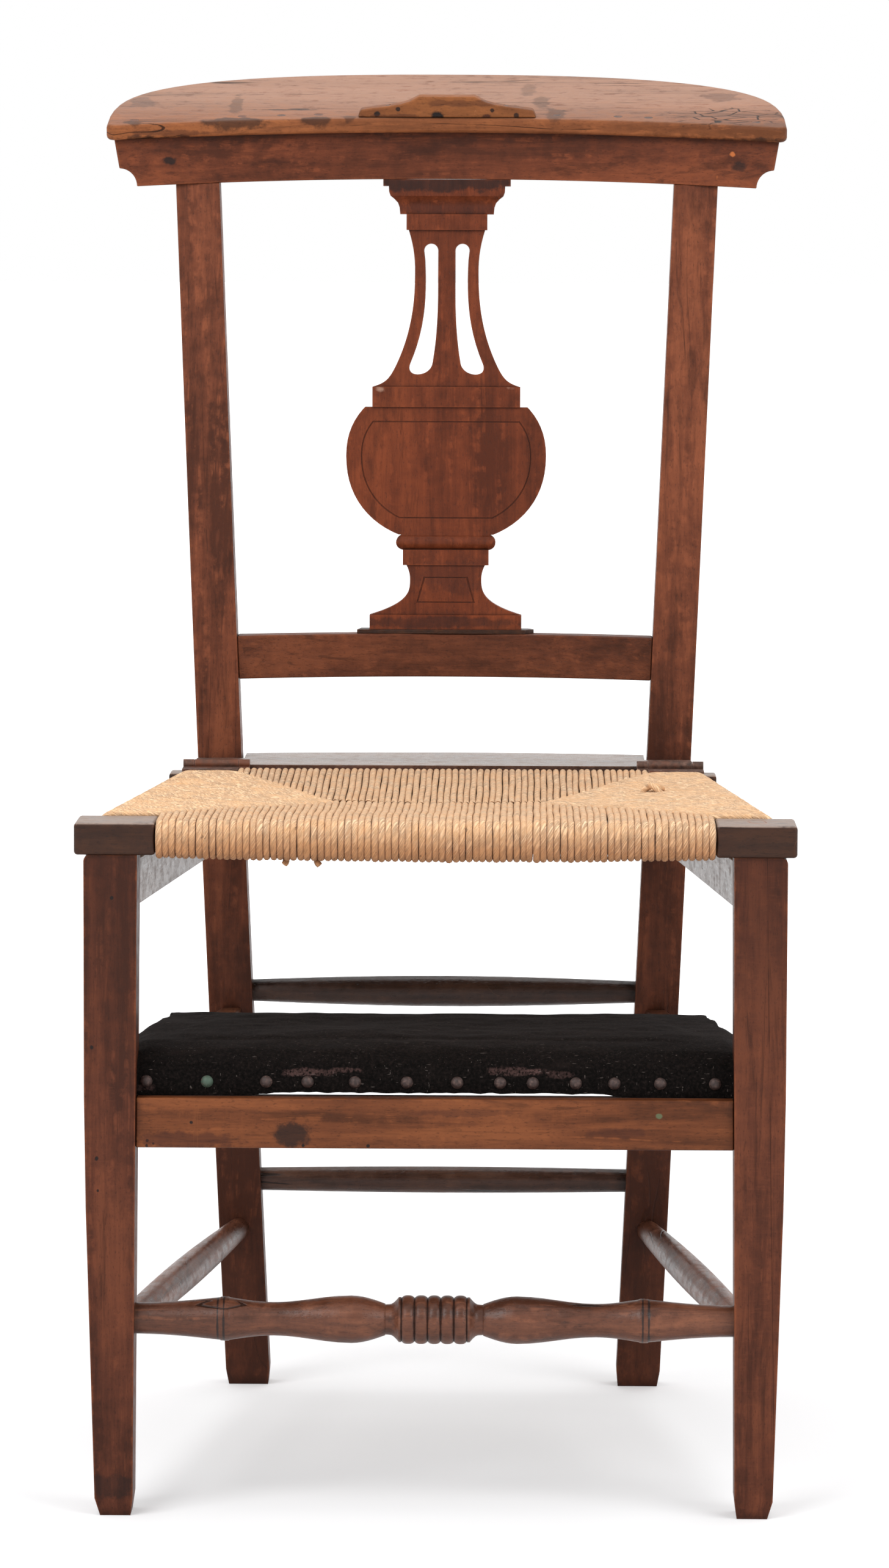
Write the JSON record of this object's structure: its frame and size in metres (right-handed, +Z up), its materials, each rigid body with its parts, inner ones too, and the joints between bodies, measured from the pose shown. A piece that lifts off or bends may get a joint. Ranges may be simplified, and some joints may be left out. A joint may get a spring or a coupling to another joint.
{
  "type": "church chair with kneeler",
  "caption": "Wooden church chair with a corded seat that hinges up to uncover a padded kneeler, a pierced urn splat and a sloping book board.",
  "frame": {"origin": "on the floor, under the middle of the chair's overall width and depth", "axes": "+Z up, the front of the seat faces -Y, +X to the right seen from the front"},
  "size_m": [0.482, 0.5988, 0.9495],
  "materials": {
    "post_wood": "worn dark varnish",
    "leg_wood": "worn dark varnish, scuffed at the feet",
    "apron_wood": "bare and weathered inside, dark outside",
    "ledge_wood": "worn grey-brown",
    "kneeler_rail_wood": "warm varnish worn at the upper edge",
    "side_rail_wood": "worn varnish",
    "pine_board": "bare, under the cover",
    "velvet": "worn black velvet",
    "tack_brass": "dull and tarnished",
    "stretcher_wood": "turned, worn varnish",
    "rail_wood": "worn varnish",
    "splat_wood": "reddish varnish",
    "crest_wood": "worn reddish varnish",
    "board_wood": "worn to bare wood on top",
    "lip_wood": "worn light",
    "shim_wood": "dark",
    "seat_wood": "dark with worn light arrises",
    "paper_cord": "twisted cord, matt",
    "rusty_iron": "rusty brown",
    "dark_iron": "dark, worn slots"
  },
  "bodies": {
    "frame": {"front_leg_left": "leg_wood", "front_leg_right": "leg_wood", "back_post_left": "post_wood", "back_post_right": "post_wood", "side_apron_left": "apron_wood", "side_apron_right": "apron_wood", "rear_seat_rail": "rail_wood", "hinge_ledge": "ledge_wood", "kneeler_front_rail": "kneeler_rail_wood", "kneeler_side_rail_left": "side_rail_wood", "kneeler_side_rail_right": "side_rail_wood", "kneeler_board": "pine_board", "kneeler_pad": "velvet", "kneeler_tacks": "tack_brass", "front_stretcher": "stretcher_wood", "side_stretcher_left": "stretcher_wood", "side_stretcher_right": "stretcher_wood", "back_stretcher_upper": "stretcher_wood", "back_stretcher_lower": "stretcher_wood", "lower_back_rail": "rail_wood", "splat": "splat_wood", "splat_shim": "shim_wood", "crest_rail": "crest_wood", "arm_board": "board_wood", "arm_board_nails": "dark_iron", "book_lip": "lip_wood", "book_lip_nails": "dark_iron", "hinge_ledge_leaf_left": "rusty_iron", "hinge_ledge_leaf_right": "rusty_iron", "hinge_pins": "dark_iron", "hinge_ledge_screws": "dark_iron"},
    "seat": {"seat_front_rail": "seat_wood", "seat_side_rail_left": "seat_wood", "seat_side_rail_right": "seat_wood", "seat_rear_rail": "seat_wood", "seat_rail_plug": "seat_wood", "seat_cord": "paper_cord", "hinge_seat_leaf_left": "rusty_iron", "hinge_seat_leaf_right": "rusty_iron", "hinge_seat_screws": "dark_iron"}
  },
  "joints": [
    {"name": "seat_hinge", "type": "hinge", "parent": "frame", "child": "seat", "pos_m": [0, 0.07511, 0.462], "axis": [-1, 0, 0], "range_deg": [0, 100]}
  ]
}
